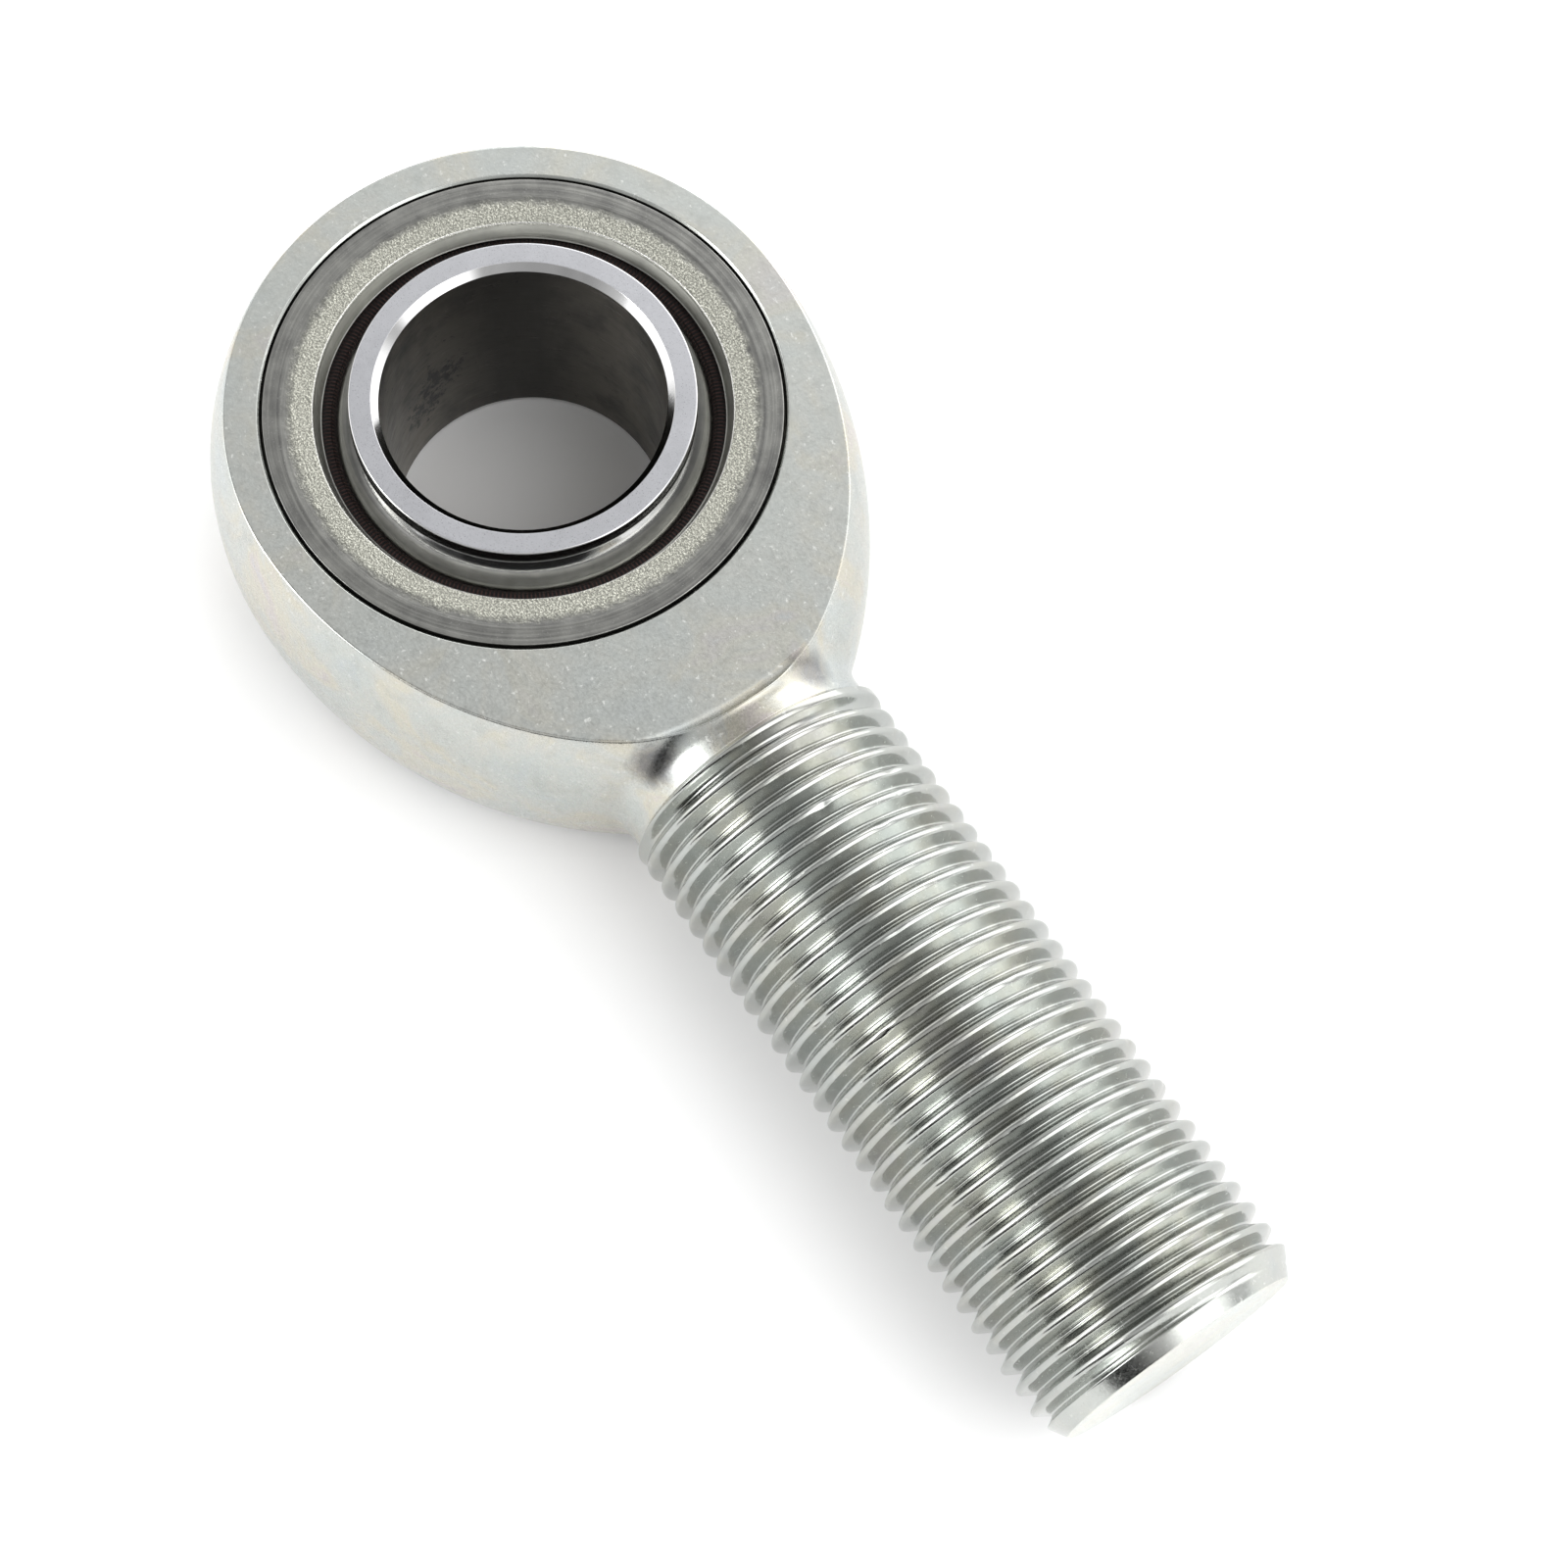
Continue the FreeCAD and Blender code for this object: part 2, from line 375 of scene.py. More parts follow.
def zinc(name, roughness, tint, speck, marks, tone=0.80, faced=False, neck_shaded=False):
    """Zinc plate over steel: pale grey with rainbow patches, specks and tool marks.

    tint is how strong the rainbow patches are, speck the depth of the fine grain
    and marks the depth of the turning rings about the shank axis, in millimetres;
    tone darkens the whole plate. The rings run along the shank, or across a faced end.
    The last argument adds dark patches of painted shade beside the neck.
    """
    def toned(*color):
        return tuple(tone * c for c in color)

    s = Shading(name)
    place = s.millimetres()
    patches = s.noise(place, 0.16, detail=4, roughness=0.62, distortion=0.6)
    rainbow = s.ramp(patches, [
        (0.30, toned(0.560, 0.600, 0.610)),
        (0.42, toned(0.600, 0.625, 0.595)),
        (0.50, toned(0.640, 0.635, 0.590)),
        (0.58, toned(0.700, 0.650, 0.520)),
        (0.66, toned(0.670, 0.585, 0.560)),
        (0.76, toned(0.520, 0.580, 0.660)),
    ])
    base = s.mix(tint, toned(0.600, 0.622, 0.596), rainbow)
    grain = s.noise(place, 5.0, detail=3, roughness=0.7)
    flecks = s.span(s.noise(place, 2.1, detail=4, roughness=0.75), 0.61, 0.66)
    stains = s.span(s.noise(place, 0.5, detail=5, roughness=0.75), 0.50, 0.75)
    color = s.mix(s.math("MULTIPLY", flecks, 0.60), base, toned(0.86, 0.87, 0.84))
    color = s.mix(s.math("MULTIPLY", stains, 0.30), color, toned(0.33, 0.34, 0.31))
    # dark patches of painted shade beside the neck, with ragged edges
    for spot in NECK_PAINTED_SHADE if neck_shaded else ():
        shift = s.join(stains, patches, grain)
        ragged = s.node("VectorMath", {0: place, 1: shift}, operation="ADD").outputs[0]
        away = s.node("VectorMath", {0: ragged, 1: spot}, operation="DISTANCE").outputs["Value"]
        painted_shade = s.span(away, 2.1, 0.9)
        color = s.mix(s.math("MULTIPLY", painted_shade, 0.75), color, (0.10, 0.10, 0.11))
    rough = s.math("ADD", s.span(grain, 0.3, 0.7, roughness - 0.06, roughness + 0.08),
                   s.math("MULTIPLY", flecks, 0.12))
    normal = s.bump(grain, speck)
    x, y, z = s.split(place)[0:3]
    if faced:
        x = s.node("VectorMath", {0: s.join(0.0, y, z)}, operation="LENGTH").outputs["Value"]
    rings = s.noise(s.join(s.math("MULTIPLY", x, 6.0), s.math("MULTIPLY", y, 0.05),
                           s.math("MULTIPLY", z, 0.05)), 1.0, detail=3, roughness=0.6)
    normal = s.bump(rings, marks, below=normal)
    return s.finish(color, rough, normal=normal)


def race_steel(name):
    """Bare steel: turned rings on the rim, bright grain where the face was pressed in.

    The mouth's wall is a plain grey painted lighter, and its upper edge a narrow painted
    highlight.
    beyond is 1 on the rim, within is 1 on the wall, and plain is 1 on both.
    """
    s = Shading(name)
    place = s.millimetres()
    reach = s.radius(place)
    x, y = s.split(place)[0:2]
    wobble = s.noise(place, 1.4, detail=4, roughness=0.65)
    border = s.math("ADD", reach, s.span(wobble, 0.3, 0.7, -0.25, 0.25))
    beyond = s.span(border, STEP_RADIUS - 0.35, STEP_RADIUS + 0.25)
    within = s.span(reach, MOUTH_RADIUS - 0.02, MOUTH_RADIUS - 0.08)
    plain = s.math("MAXIMUM", beyond, within)

    rings = s.noise(s.join(s.math("MULTIPLY", reach, 5.5), s.math("MULTIPLY", x, 0.06),
                           s.math("MULTIPLY", y, 0.06)), 1.0, detail=4, roughness=0.65)
    cloud = s.noise(place, 0.5, detail=4, roughness=0.6)
    fine = s.noise(place, 9.0, detail=3, roughness=0.65)
    shade = s.math("ADD", s.math("MULTIPLY", rings, 0.6), s.math("MULTIPLY", cloud, 0.4))
    turned = s.mix(s.span(shade, 0.38, 0.62), (0.32, 0.32, 0.30), (0.15, 0.15, 0.145))
    turned = s.mix(s.math("MULTIPLY", s.span(fine, 0.60, 0.72), 0.4), turned, (0.62, 0.62, 0.60))
    # painted light: the mouth's wall is a lighter copy of the turned grey
    wall = s.mix(s.span(shade, 0.38, 0.62), (0.46, 0.46, 0.435), (0.27, 0.27, 0.258))
    turned = s.mix(within, turned, wall)
    grain = s.noise(place, 7.5, detail=3, roughness=0.65)
    pressed = s.mix(s.span(grain, 0.42, 0.64), (0.26, 0.26, 0.225), (0.64, 0.64, 0.565))
    tone = s.mix(plain, pressed, turned)
    # a narrow painted highlight along the mouth's upper edge
    painted_glint = s.math("MULTIPLY", s.span(reach, MOUTH_RADIUS - 0.08, MOUTH_RADIUS - 0.03),
                 s.span(reach, MOUTH_RADIUS + 0.08, MOUTH_RADIUS + 0.03))
    tone = s.mix(painted_glint, tone, (0.64, 0.64, 0.61))
    rough = s.mix(plain, (0.16, 0.16, 0.16), (0.31, 0.31, 0.31))
    normal = s.bump(s.math("MULTIPLY", rings, plain), 0.008)
    normal = s.bump(s.math("MULTIPLY", grain, s.math("SUBTRACT", 1.0, plain)), 0.044, below=normal)
    normal = s.bump(fine, 0.004, below=normal)
    return s.finish(tone, rough, normal=normal)


def ball_steel(name, color, roughness, scratch_depth, cloud_share=0.25):
    """Hard chrome or ground bearing steel with a fine scratch pattern."""
    s = Shading(name)
    place = s.millimetres()
    x, y, z = s.split(place)[0:3]
    scratches = s.noise(s.join(s.math("MULTIPLY", x, 9.0), s.math("MULTIPLY", y, 0.8),
                               s.math("MULTIPLY", z, 0.8)), 1.0, detail=4, roughness=0.7)
    fine = s.noise(place, 14.0, detail=2)
    cloud = s.noise(place, 0.35, detail=4, roughness=0.6)
    dark = tuple(0.72 * c for c in color)
    tone = s.mix(s.math("MULTIPLY", s.span(cloud, 0.40, 0.68), cloud_share), color, dark)
    rough = s.span(fine, 0.3, 0.7, roughness * 0.75, roughness * 1.3)
    normal = s.bump(scratches, scratch_depth)
    return s.finish(tone, rough, normal=normal)


def bore_steel(name):
    """The honed bore: dark brownish steel with black stains, painted light on opposite sides.

    across is the distance from a plane through the bore's axis: painted shade makes the wall
    darkest near it.
    """
    s = Shading(name)
    place = s.millimetres()
    x, y, z = s.split(place)[0:3]
    hone = s.noise(s.join(s.math("MULTIPLY", x, 0.5), s.math("MULTIPLY", y, 0.5),
                          s.math("MULTIPLY", z, 5.0)), 1.0, detail=4, roughness=0.6)
    cloud = s.noise(place, 0.28, detail=4, roughness=0.6)
    # painted light and shade: paler away from a plane through the bore's axis, darkest near it
    across = s.math("ABSOLUTE", s.math("ADD", s.math("MULTIPLY", x, 0.48),
                                       s.math("MULTIPLY", y, 0.87)))
    pale = s.math("MULTIPLY", s.span(across, 1.5, 7.5), s.span(cloud, 0.30, 0.56))
    tone = s.mix(pale, (0.052, 0.050, 0.045), (0.175, 0.160, 0.135))
    ragged = s.noise(place, 1.3, detail=5, roughness=0.8)
    for spot in STAINS:
        away = s.node("VectorMath", {0: place, 1: spot}, operation="DISTANCE").outputs["Value"]
        near = s.math("ADD", s.span(away, 3.4, 0.3, 0.0, 0.22), ragged)
        stain = s.math("MULTIPLY", s.span(near, 0.64, 0.68), 0.85)
        tone = s.mix(stain, tone, (0.022, 0.022, 0.024))
    rough = s.span(hone, 0.3, 0.7, 0.26, 0.40)
    return s.finish(tone, rough, normal=s.bump(hone, 0.004))


def liner_cloth(name):
    """Woven cloth in resin, nearly black, with red-brown yarn ends along both edges."""
    s = Shading(name)
    place = s.millimetres()
    fuzz = s.noise(place, 6.0, detail=3, roughness=0.7)
    tone = s.ramp(fuzz, [
        (0.35, (0.002, 0.002, 0.002)),
        (0.55, (0.006, 0.004, 0.004)),
        (0.72, (0.018, 0.009, 0.008)),
    ])
    x, y, z = s.split(place)[0:3]
    turn = s.math("MULTIPLY", s.math("ARCTAN2", y, x), YARNS_ROUND)
    ends = s.math("MULTIPLY", s.span(s.math("SINE", turn), 0.2, 0.9),
                  s.span(s.math("ABSOLUTE", z), LINER_HALF_WIDTH - 0.14, LINER_HALF_WIDTH - 0.04))
    tone = s.mix(s.math("MULTIPLY", ends, 0.8), tone, (0.050, 0.022, 0.018))
    return s.finish(tone, 0.75, metallic=0.0, normal=s.bump(fuzz, 0.03), Specular_IOR_Level=0.3)


# ---------------------------------------------------------------- turned pieces

def make_ball(materials):
    """Ball with a short neck at each end, flat ground faces and a chamfered bore.

    The sphere is clean chrome beyond CHROME_HEIGHT and worn between, where it runs in the liner.
    """
    reach = BALL_RADIUS + NECK_FILLET
    center = np.array([NECK_RADIUS + NECK_FILLET, 0.0])
    center[1] = math.sqrt(reach ** 2 - center[0] ** 2)
    meeting = math.atan2(center[1], center[0])
    upper = rounded(
        [(BORE_RADIUS, 0), (BORE_RADIUS, HALF_BALL - BORE_CHAMFER),
         (BORE_RADIUS + BORE_CHAMFER, HALF_BALL), (NECK_RADIUS, HALF_BALL),
         (NECK_RADIUS, center[1])],
        [BORE_EDGE, CHAMFER_EDGE, FACE_EDGE], steps=4)
    upper = divided(upper, 0.6)
    fillet = arc_points(center, NECK_FILLET, math.pi, math.pi + meeting, 14)
    sphere = arc_points((0, 0), BALL_RADIUS, meeting, -meeting, 90)
    lower = [np.array([p[0], -p[1]]) for p in reversed(upper + fillet[1:-1])]
    profile = upper + fillet[1:-1] + sphere + lower
    ball = lathe("ball_turned", profile, 288, materials)
    for face in ball.data.polygons:
        middle = face.center / MM
        away = math.hypot(middle.x, middle.y)
        if abs(face.normal.z) > 0.95 and abs(middle.z) > HALF_BALL - FACE_EDGE:
            face.material_index = GROUND
        elif away > NECK_RADIUS and abs(middle.z) < CHROME_HEIGHT:
            face.material_index = WORN
        # the neck's wall gets chrome painted nearly black: a painted dark reflection
        elif away > NECK_RADIUS - 0.02 and abs(face.normal.z) < 0.4:
            face.material_index = PAINTED_DARK_NECK
        elif away < BORE_RADIUS + 0.01 and abs(middle.z) < HALF_BALL - BORE_CHAMFER:
            face.material_index = HONED
        else:
            face.material_index = CHROME
    return ball


def make_race(materials):
    """Steel ring: turned rim, grainy pressed zone and the mouth round the ball."""
    seat = BALL_RADIUS + RUNNING_GAP + LINER_THICKNESS + RUNNING_GAP
    face = HALF_HEAD - RACE_RECESS
    low_face = face - PRESSED_DEPTH
    foot = face - MOUTH_DEPTH
    slot_radius = RACE_RADIUS - SLOT_WIDTH
    corners = [
        (math.sqrt(seat ** 2 - foot ** 2), foot),
        (MOUTH_FOOT_RADIUS, foot),
        (MOUTH_RADIUS, face - PRESSED_DEPTH),
        (STEP_RADIUS, face - STEP_DEPTH),
        (STEP_RADIUS + STEP_WIDTH, face),
        (slot_radius, face),
        (slot_radius, face - SLOT_DEPTH),
        (RACE_RADIUS, face - SLOT_DEPTH - SLOT_WIDTH),
        (RACE_RADIUS, 0),
    ]
    upper = rounded(corners, [0.03, 0.10, 0.5, 0.5, RACE_EDGE, 0, 0], steps=4)
    rows = divided(upper, 1.0)
    fine = []
    for a, b in zip(rows, rows[1:]):
        on_face = min(a[1], b[1]) > low_face - 0.1 and max(a[0], b[0]) < slot_radius
        count = max(1, math.ceil(np.linalg.norm(b - a) / (0.075 if on_face else 0.8)))
        fine += [a + (b - a) * k / count for k in range(count)]
    fine.append(np.array(corners[-1], float))
    lower = [np.array([p[0], -p[1]]) for p in reversed(fine[:-1])]
    angle = math.asin(foot / seat)
    profile = fine + lower + arc_points((0, 0), seat, -angle, angle, 24)[1:]

    def grain(radius, height, turns):
        """Grains on the pressed zone and faint rings on the rim, on both faces.

        Every point moves outwards by the size of its lift, whatever the lift's sign. On the
        rim only the points with a lift below 0 move.
        """
        top = abs(height) > low_face - 0.25
        zone = smoothstep(MOUTH_RADIUS - 0.12, MOUTH_RADIUS + 0.1, radius)
        zone *= 1 - smoothstep(STEP_RADIUS - 0.20, STEP_RADIUS + 0.70, radius)
        rim = smoothstep(STEP_RADIUS, STEP_RADIUS + 0.3, radius) * (radius < slot_radius - 0.10)
        moved = height.copy()
        rows, columns = np.nonzero(top & ((zone > 0) | (rim > 0)))
        for j, i in zip(rows, columns):
            turn = turns[i % (len(turns) - 1)]
            r = radius[j, i]
            spot = Vector((r * math.cos(turn), r * math.sin(turn), height[j, i]))
            pits = noise.noise(spot * 5.2) + 0.6 * noise.noise(spot * 8.0)
            rings = noise.noise(Vector((r * 5.0, 0.6 * math.cos(turn), 0.6 * math.sin(turn))))
            lift = PIT_SIZE * zone[j, i] * (pits - 0.35) + RING_SIZE * rim[j, i] * (rings - 0.5)
            if rim[j, i] > 0.5:
                lift = min(lift, 0.0)
            moved[j, i] += math.copysign(lift, height[j, i])
        return radius, moved

    return lathe("race_turned", profile, 720, materials, shift=grain)


def make_liner(materials):
    """Woven band, with yarn ends along both edges."""
    inner = BALL_RADIUS + RUNNING_GAP
    outer = inner + LINER_THICKNESS
    inner_angle = math.asin(LINER_HALF_WIDTH / inner)
    outer_angle = math.asin(LINER_HALF_WIDTH / outer)
    start = arc_points((0, 0), inner, 0, inner_angle, 24)
    end = arc_points((0, 0), outer, outer_angle, 0, 8)
    top = [start[-1] + (end[0] - start[-1]) * k / 7 for k in range(1, 7)]
    half = start + top + end
    profile = half + [np.array([p[0], -p[1]]) for p in reversed(half[1:-1])] + [half[0]]

    def weave(radius, height, turns):
        """Sinks the edges between the yarn ends, so that none stands beyond the band."""
        phase = YARNS_ROUND * turns
        edge = smoothstep(LINER_HALF_WIDTH - 0.15, LINER_HALF_WIDTH, abs(height))
        across = (np.hypot(radius, height) - inner) / LINER_THICKNESS
        rows = np.sin(2 * math.pi * across) * np.sin(phase)
        sunk = YARN_HEIGHT * (1 - rows) * edge
        return radius, height - np.sign(height) * sunk

    return lathe("liner_woven", profile, YARNS_ROUND * 4, materials, shift=weave)


# ---------------------------------------------------------------- body

SHOULDER_LEVEL = HEAD_RADIUS - SHOULDER_RADIUS
FILLET_LEVEL = UNDERCUT_RADIUS + UNDERCUT_FILLET
FILLET_PLACE = math.sqrt((SHOULDER_RADIUS + UNDERCUT_FILLET) ** 2
                         - (FILLET_LEVEL - SHOULDER_LEVEL) ** 2)
SHOULDER_END = FILLET_PLACE * SHOULDER_RADIUS / (SHOULDER_RADIUS + UNDERCUT_FILLET)


def blank_radius(x):
    """Radius of the turned blank about the shank axis, up to the undercut."""
    x = np.asarray(x, float)
    end = np.sqrt(np.maximum(HEAD_RADIUS ** 2 - x ** 2, 0))
    shoulder = np.sqrt(np.maximum(SHOULDER_RADIUS ** 2 - x ** 2, 0)) + SHOULDER_LEVEL
    reach = np.clip(FILLET_PLACE - x, 0, UNDERCUT_FILLET)
    fillet = FILLET_LEVEL - np.sqrt(UNDERCUT_FILLET ** 2 - reach ** 2)
    return np.where(x < 0, end, np.where(x < SHOULDER_END, shoulder, fillet))


def tool_height(radius):
    """Height left by the facing tool at a distance from the ball axis."""
    beyond = np.clip(radius - (FACING_RADIUS - FACING_CORNER), 0, FACING_CORNER)
    return HALF_HEAD + FACING_CORNER - np.sqrt(FACING_CORNER ** 2 - beyond ** 2)


def bisect(function, low, high):
    """Where a falling function crosses zero, for arrays of limits."""
    low = np.array(low, float)
    high = np.array(high, float)
    for _ in range(60):
        middle = (low + high) / 2
        above = function(middle) > 0
        low = np.where(above, middle, low)
        high = np.where(above, high, middle)
    return (low + high) / 2


def on_blank(points):
    """Moves points straight towards or away from the shank axis onto the blank."""
    away = np.maximum(np.hypot(points[..., 1], points[..., 2]), 1e-9)
    scale = blank_radius(points[..., 0]) / away
    return np.stack([points[..., 0], points[..., 1] * scale, points[..., 2] * scale], axis=-1)


def head_points():
    """Two grids of the head: its bore and upper face out to the edge, and its side."""
    corner = FACING_RADIUS - FACING_CORNER

    def rise(angle, radius):
        return (blank_radius(radius * np.cos(angle)) ** 2
                - (radius * np.sin(angle)) ** 2 - tool_height(radius) ** 2)

    sector = float(bisect(lambda a: rise(a, corner), 0.05, 0.8))
    inside = np.linspace(-sector, sector, SECTOR_COLUMNS + 1)
    outside = np.linspace(sector, 2 * math.pi - sector, OPEN_COLUMNS + 1)
    angles = np.concatenate([inside, outside[1:]])
    edge_radius = bisect(lambda r: rise(angles, r),
                         np.full(len(angles), RACE_RADIUS + 0.4),
                         np.full(len(angles), FACING_RADIUS - 1e-5))
    edge = np.stack([edge_radius * np.cos(angles), edge_radius * np.sin(angles),
                     tool_height(edge_radius)], axis=-1)
    ring = np.concatenate([edge[-2:-1], edge[:-1], edge[:1], edge[1:2]])
    along = ring[2:] - ring[:-2]
    along = np.concatenate([along[:-1], along[:1]])[:len(edge)]
    along /= np.linalg.norm(along, axis=1, keepdims=True)
    step = 1e-4
    slope = (blank_radius(edge[:, 0] + step) - blank_radius(edge[:, 0] - step)) / (2 * step)
    spoke = edge[:, 1:] / np.hypot(edge[:, 1], edge[:, 2])[:, None]
    blank_normal = np.concatenate([-slope[:, None], spoke], axis=1)
    blank_normal /= np.linalg.norm(blank_normal, axis=1, keepdims=True)
    sink = np.clip((edge_radius - corner) / FACING_CORNER, 0, 1)
    tool_normal = np.stack([-sink * np.cos(angles), -sink * np.sin(angles),
                            np.sqrt(1 - sink ** 2)], axis=-1)
    inner = edge - EDGE_REACH * np.cross(along, tool_normal)
    outer = on_blank(edge + EDGE_REACH * np.cross(along, blank_normal))
    inner_radius = np.hypot(inner[:, 0], inner[:, 1])
    inner_angle = np.unwrap(np.arctan2(inner[:, 1], inner[:, 0]))

    rows = []
    wall = divided(rounded([(RACE_RADIUS, 0), (RACE_RADIUS, HALF_HEAD - HEAD_BORE_CHAMFER),
                            (RACE_RADIUS + HEAD_BORE_CHAMFER, HALF_HEAD),
                            (RACE_RADIUS + BORE_APRON, HALF_HEAD)], [0.05, 0.05], steps=3), 2.0)
    for radius, height in wall:
        rows.append(np.stack([radius * np.cos(inner_angle), radius * np.sin(inner_angle),
                              np.full(len(angles), height)], axis=-1))
    flat_end = np.minimum(inner_radius, corner)
    for share in FLAT_ROWS:
        radius = RACE_RADIUS + BORE_APRON + (flat_end - RACE_RADIUS - BORE_APRON) * share
        rows.append(np.stack([radius * np.cos(inner_angle), radius * np.sin(inner_angle),
                              np.full(len(angles), HALF_HEAD)], axis=-1))
    turn_end = np.arcsin(np.clip((inner_radius - corner) / FACING_CORNER, 0, 1))
    for share in np.linspace(0, 1, 9):
        radius = flat_end + FACING_CORNER * np.sin(turn_end * share)
        rows.append(np.stack([radius * np.cos(inner_angle), radius * np.sin(inner_angle),
                              tool_height(radius)], axis=-1))
    start = rows[-1]
    for t in (0.25, 0.5, 0.75, 1.0):
        rows.append((1 - t) ** 2 * start + 2 * t * (1 - t) * edge + t ** 2 * outer)

    open_part = slice(SECTOR_COLUMNS, len(angles))
    first = outer[open_part]
    spin = angles[open_part]
    fold = np.minimum(spin, 2 * math.pi - spin)
    # beside the neck the points move sideways, and further round they move straight out
    lean = 1 - smoothstep(sector, math.radians(80), fold)
    aim = fold + (math.pi / 2 - fold) * lean
    aim = np.where(spin > math.pi, -aim, aim)
    side = [first]
    for k in range(1, SIDE_ROWS):
        # the rows are closer together near both edges
        level = math.cos(math.pi * k / SIDE_ROWS)
        level = 0.6 * level + 0.4 * (1 - 2 * k / SIDE_ROWS)
        height = first[:, 2] * level

        def inside_blank(t):
            x = first[:, 0] + t * np.cos(aim)
            y = first[:, 1] + t * np.sin(aim)
            return blank_radius(x) ** 2 - y ** 2 - height ** 2

        t = bisect(inside_blank, np.zeros(len(first)), np.full(len(first), SIDE_REACH))
        side.append(np.stack([first[:, 0] + t * np.cos(aim), first[:, 1] + t * np.sin(aim),
                              height], axis=-1))
    side.append(first * (1, 1, -1))
    return np.array(rows), np.array(side)


def neck_points(upper, side):
    """Rows from the head's open rim to a ring on the undercut."""
    half = SIDE_ROWS // 2
    top = upper[-1][:SECTOR_COLUMNS + 1][::-1]
    left = side[:, 0][half:0:-1]
    right = side[:, -1][0:half]
    upper_half = np.concatenate([left, top, right[1:], side[half:half + 1, -1]])
    lower_half = upper_half[::-1] * (1, 1, -1)
    rim = np.concatenate([upper_half, lower_half[1:]])
    rim_turn = np.unwrap(np.arctan2(rim[:, 2], rim[:, 1]))
    ring_turn = np.linspace(0, 2 * math.pi, len(rim))
    rim_turn += 2 * math.pi * round((ring_turn[5] - rim_turn[5]) / (2 * math.pi))
    rows = []
    for share in np.concatenate([[0, 0.02], np.linspace(0.08, 1, 15)]):
        x = rim[:, 0] + (RING_START - rim[:, 0]) * share
        turn = rim_turn + (ring_turn - rim_turn) * share
        radius = blank_radius(x)
        rows.append(np.stack([x, radius * np.cos(turn), radius * np.sin(turn)], axis=-1))
    return np.array(rows)


def groove_depth(offset):
    """Depth of the full thread groove at a distance along the shank from its middle."""
    a = np.abs(offset)
    root_half = PITCH / 2 - (THREAD_DEPTH + CREST_ROUND) / FLANK_SLOPE
    tangent = ROOT_ROUND / FLANK_SLOPE
    root_flat = root_half - tangent
    flank = THREAD_DEPTH - (a - root_half) * FLANK_SLOPE
    root_drop = np.maximum(ROOT_ROUND ** 2 - (a - root_flat) ** 2, 0)
    root = THREAD_DEPTH - ROOT_ROUND + np.sqrt(root_drop)
    crest_gap = np.clip(PITCH / 2 - a, 0, CREST_ROUND)
    crest = CREST_ROUND - np.sqrt(CREST_ROUND ** 2 - crest_gap ** 2)
    depth = np.where(a < root_half + tangent / 2, root, flank)
    depth = np.where(a < root_flat, THREAD_DEPTH, depth)
    return np.where(a > PITCH / 2 - CREST_ROUND * FLANK_SLOPE / 2, crest, depth)


def groove_offsets():
    """Where the mesh has rows across one pitch: close together on crest and root."""
    root_half = PITCH / 2 - (THREAD_DEPTH + CREST_ROUND) / FLANK_SLOPE
    root_edge = root_half + ROOT_ROUND / FLANK_SLOPE / 2
    crest_edge = PITCH / 2 - CREST_ROUND * FLANK_SLOPE / 2
    crest = crest_edge + (PITCH / 2 - crest_edge) * np.array([0.0, 0.25, 0.5, 0.75, 1.0])
    right = [root_edge / 2, root_edge, root_edge + 0.03, crest_edge - 0.03] + list(crest)
    return np.array([-o for o in reversed(right[:-1])] + [0] + right)


def make_nicks(count):
    """Small dents on the crests: place along the shank, turn, size and depth."""
    dice = random.Random(7)
    return [(dice.uniform(THREAD_START + 1, LENGTH - 2), dice.random(),
             dice.uniform(*NICK_SIZES), dice.uniform(*NICK_DEPTHS)) for _ in range(count)]


NICKS = make_nicks(NICK_COUNT)


def shank_radius(x, turn):
    """Radius of the neck, left-hand thread and tip; turn runs from +Y towards +Z."""
    helix = x + PITCH * turn - GROOVE_START - PITCH * GROOVE_START_TURN
    offset = helix - PITCH * np.round(helix / PITCH)
    travelled = (x - offset - GROOVE_START) / PITCH
    share = smoothstep(0.0, RUN_IN_TURNS, travelled)
    share = share * (1 - smoothstep(*RUN_OUT, x - offset))
    cut = THREAD_RADIUS - groove_depth(offset) * share
    lead = np.interp(x, [THREAD_START - LEAD_IN, THREAD_START],
                     [UNDERCUT_RADIUS, THREAD_RADIUS])
    taper = (THREAD_RADIUS - TIP_RADIUS) / TIP_CHAMFER
    cone = THREAD_RADIUS - np.maximum(x - LENGTH + TIP_CHAMFER, 0) * taper
    trace = np.exp(-(offset / TRACE_HALF_WIDTH) ** 2) * smoothstep(*TRACE_RISE, x) * TRACE_DEPTH
    marked_cone = cone - trace * (1 - smoothstep(*TRACE_FALL, x))
    radius = np.minimum(np.minimum(cut, lead), marked_cone)
    for place, spot, size, depth in NICKS:
        gap = (turn - spot + 0.5) % 1 - 0.5
        away = ((x - place) / size) ** 2 + (gap * 2 * math.pi * THREAD_RADIUS / (1.6 * size)) ** 2
        near = away < 9
        if near.any():
            proud = smoothstep(THREAD_RADIUS - 0.5, THREAD_RADIUS, radius[near])
            radius[near] -= depth * np.exp(-away[near]) * proud
    return radius


